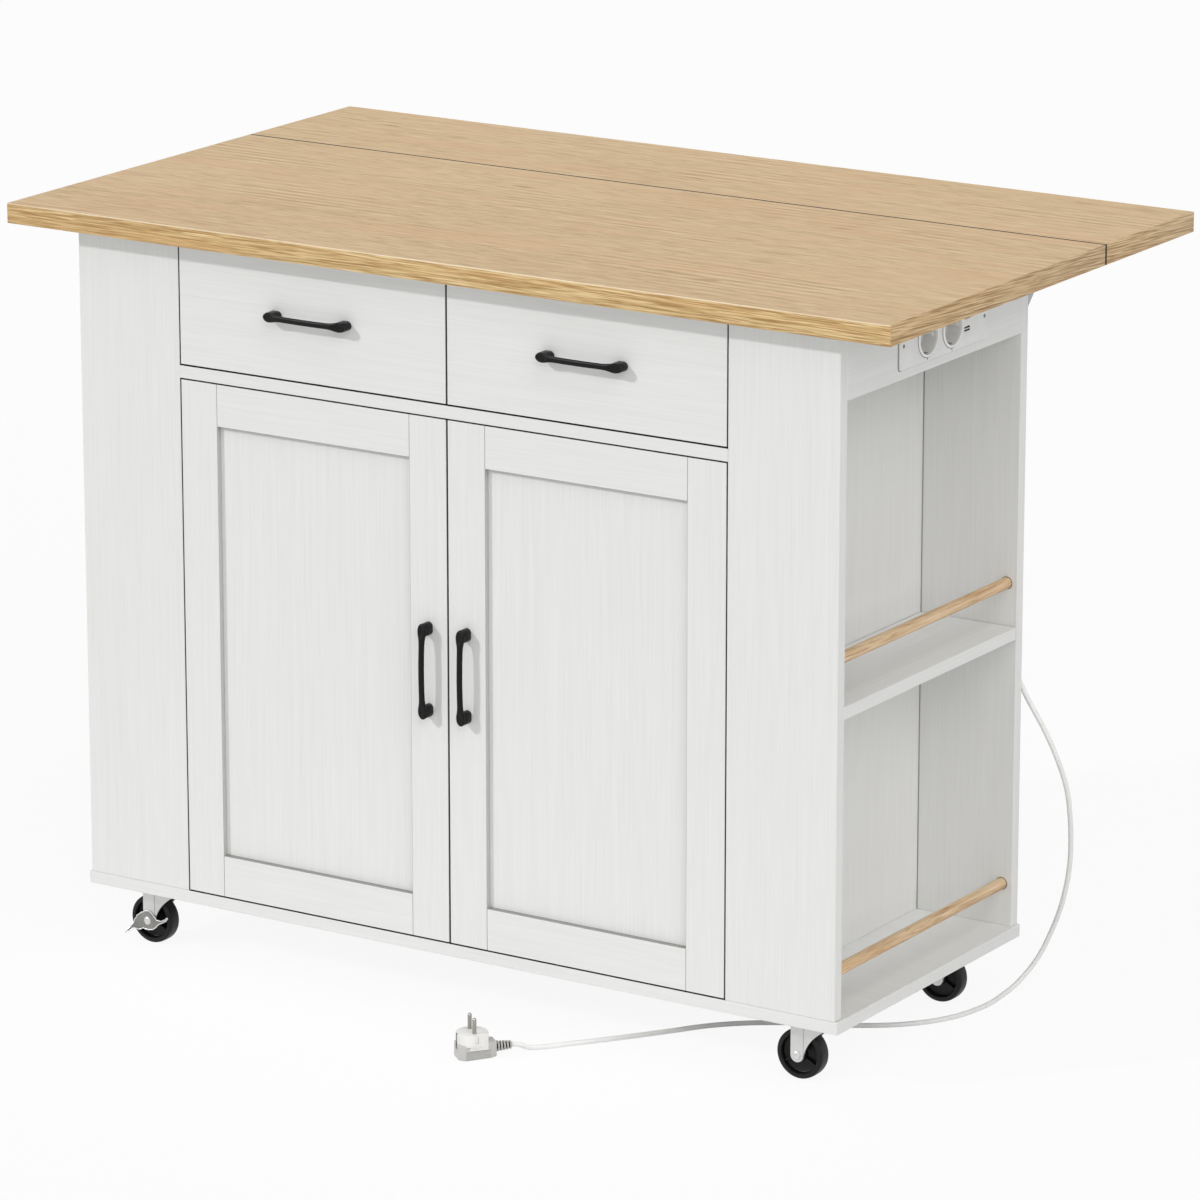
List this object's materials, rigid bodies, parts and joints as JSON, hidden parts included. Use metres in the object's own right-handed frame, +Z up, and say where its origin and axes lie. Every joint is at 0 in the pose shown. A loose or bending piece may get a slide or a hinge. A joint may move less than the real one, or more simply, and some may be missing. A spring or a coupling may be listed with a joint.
{
  "type": "kitchen island",
  "caption": "White kitchen island on castors with an oak-look worktop, a drop leaf, drawers, panelled doors, open side bays and sockets in its side apron.",
  "frame": {"origin": "middle of the worktop and leaf outline, on the floor", "axes": "+X along the worktop towards the socket side, front doors face -Y, the leaf folds down at +Y, +Z up"},
  "size_m": [1.2, 0.7965, 0.9093],
  "materials": {
    "oak": "oak-look top, satin",
    "laminate": "white board with a fine embossed grain",
    "carcass_white": "smooth white board",
    "hardboard": "thin white-faced hardboard",
    "beech": "oiled pale wood",
    "black_pull": "black, satin",
    "black_nylon": "black nylon",
    "zinc": "zinc-plated steel",
    "nickel": "nickel-plated steel",
    "socket_white": "white plastic, satin",
    "socket_grey": "grey plastic",
    "lead": "off-white PVC"
  },
  "bodies": {
    "island": {"worktop": "oak", "base_board": "laminate", "back_panel": "laminate", "front_stile_left": "laminate", "front_stile_right": "laminate", "bay_shelf_left": "laminate", "bay_shelf_right": "laminate", "drawer_deck": "laminate", "apron_left": "laminate", "apron_right": "laminate", "divider_left": "carcass_white", "divider_right": "carcass_white", "drawer_partition": "carcass_white", "inner_shelf": "carcass_white", "bay_rod_lower_left": "beech", "bay_rod_lower_right": "beech", "bay_rod_upper_left": "beech", "bay_rod_upper_right": "beech", "bracket_wall_left": "zinc", "bracket_wall_right": "zinc", "hinge_arm_lower_left": "nickel", "hinge_arm_lower_right": "nickel", "hinge_arm_upper_left": "nickel", "hinge_arm_upper_right": "nickel", "power_plate": "socket_white", "socket_block": "socket_grey", "cord_boot": "lead", "cord": "lead", "plug": "lead"},
    "leaf": {"drop_leaf": "oak", "bracket_arm_left": "zinc", "bracket_arm_right": "zinc"},
    "stay_left": {"bracket_stay_left": "zinc"},
    "drawer_left": {"drawer_front_left": "laminate", "drawer_box_left": "carcass_white", "drawer_bottom_left": "hardboard", "drawer_pull_left": "black_pull"},
    "door_left": {"door_left": "laminate", "door_pull_left": "black_pull", "hinge_cup_lower_left": "nickel", "hinge_cup_upper_left": "nickel"},
    "stay_right": {"bracket_stay_right": "zinc"},
    "drawer_right": {"drawer_front_right": "laminate", "drawer_box_right": "carcass_white", "drawer_bottom_right": "hardboard", "drawer_pull_right": "black_pull"},
    "door_right": {"door_right": "laminate", "door_pull_right": "black_pull", "hinge_cup_lower_right": "nickel", "hinge_cup_upper_right": "nickel"},
    "fork_front_left": {"caster_fork_front_left": "zinc"},
    "wheel_front_left": {"caster_wheel_front_left": "black_nylon"},
    "fork_front_right": {"caster_fork_front_right": "zinc"},
    "wheel_front_right": {"caster_wheel_front_right": "black_nylon"},
    "fork_rear_left": {"caster_fork_rear_left": "zinc"},
    "wheel_rear_left": {"caster_wheel_rear_left": "black_nylon"},
    "fork_rear_right": {"caster_fork_rear_right": "zinc"},
    "wheel_rear_right": {"caster_wheel_rear_right": "black_nylon"},
    "brake_front_left": {"brake_lever_front_left": "zinc"},
    "brake_rear_left": {"brake_lever_rear_left": "zinc"}
  },
  "joints": [
    {"name": "leaf_fold", "type": "hinge", "parent": "island", "child": "leaf", "pos_m": [0, 0.13725, 0.881], "axis": [-1, 0, 0], "range_deg": [0, 90]},
    {"name": "stay_left_fold", "type": "hinge", "parent": "leaf", "child": "stay_left", "pos_m": [-0.473, 0.23725, 0.875], "axis": [1, 0, 0], "range_deg": [0, 127.9]},
    {"name": "stay_right_fold", "type": "hinge", "parent": "leaf", "child": "stay_right", "pos_m": [0.473, 0.23725, 0.875], "axis": [1, 0, 0], "range_deg": [0, 127.9]},
    {"name": "drawer_left_slide", "type": "slide", "parent": "island", "child": "drawer_left", "axis": [0, -1, 0], "range_m": [0, 0.25]},
    {"name": "drawer_right_slide", "type": "slide", "parent": "island", "child": "drawer_right", "axis": [0, -1, 0], "range_m": [0, 0.25]},
    {"name": "door_left_hinge", "type": "hinge", "parent": "island", "child": "door_left", "pos_m": [-0.3752, -0.32245, 0.4], "axis": [0, 0, -1], "range_deg": [0, 105]},
    {"name": "door_right_hinge", "type": "hinge", "parent": "island", "child": "door_right", "pos_m": [0.3752, -0.32245, 0.4], "axis": [0, 0, 1], "range_deg": [0, 105]},
    {"name": "swivel_front_left", "type": "hinge", "parent": "island", "child": "fork_front_left", "pos_m": [-0.444, -0.27775, 0.0729], "axis": [0, 0, 1], "continuous": true},
    {"name": "roll_front_left", "type": "hinge", "parent": "fork_front_left", "child": "wheel_front_left", "pos_m": [-0.459, -0.27775, 0.03], "axis": [0, 1, 0], "continuous": true},
    {"name": "swivel_front_right", "type": "hinge", "parent": "island", "child": "fork_front_right", "pos_m": [0.468, -0.27775, 0.0729], "axis": [0, 0, 1], "continuous": true},
    {"name": "roll_front_right", "type": "hinge", "parent": "fork_front_right", "child": "wheel_front_right", "pos_m": [0.453, -0.27775, 0.03], "axis": [0, 1, 0], "continuous": true},
    {"name": "swivel_rear_left", "type": "hinge", "parent": "island", "child": "fork_rear_left", "pos_m": [-0.444, 0.04225, 0.0729], "axis": [0, 0, 1], "continuous": true},
    {"name": "roll_rear_left", "type": "hinge", "parent": "fork_rear_left", "child": "wheel_rear_left", "pos_m": [-0.459, 0.04225, 0.03], "axis": [0, 1, 0], "continuous": true},
    {"name": "swivel_rear_right", "type": "hinge", "parent": "island", "child": "fork_rear_right", "pos_m": [0.468, 0.04225, 0.0729], "axis": [0, 0, 1], "continuous": true},
    {"name": "roll_rear_right", "type": "hinge", "parent": "fork_rear_right", "child": "wheel_rear_right", "pos_m": [0.453, 0.04225, 0.03], "axis": [0, 1, 0], "continuous": true},
    {"name": "brake_front_left", "type": "hinge", "parent": "fork_front_left", "child": "brake_front_left", "pos_m": [-0.459, -0.27775, 0.03], "axis": [0, -1, 0], "range_deg": [0, 25]},
    {"name": "brake_rear_left", "type": "hinge", "parent": "fork_rear_left", "child": "brake_rear_left", "pos_m": [-0.459, 0.04225, 0.03], "axis": [0, -1, 0], "range_deg": [0, 25]}
  ],
  "couplings": [
    {"joint": "stay_left_fold", "follows": "leaf_fold", "ratio": 1.4169},
    {"joint": "stay_right_fold", "follows": "leaf_fold", "ratio": 1.4169}
  ]
}
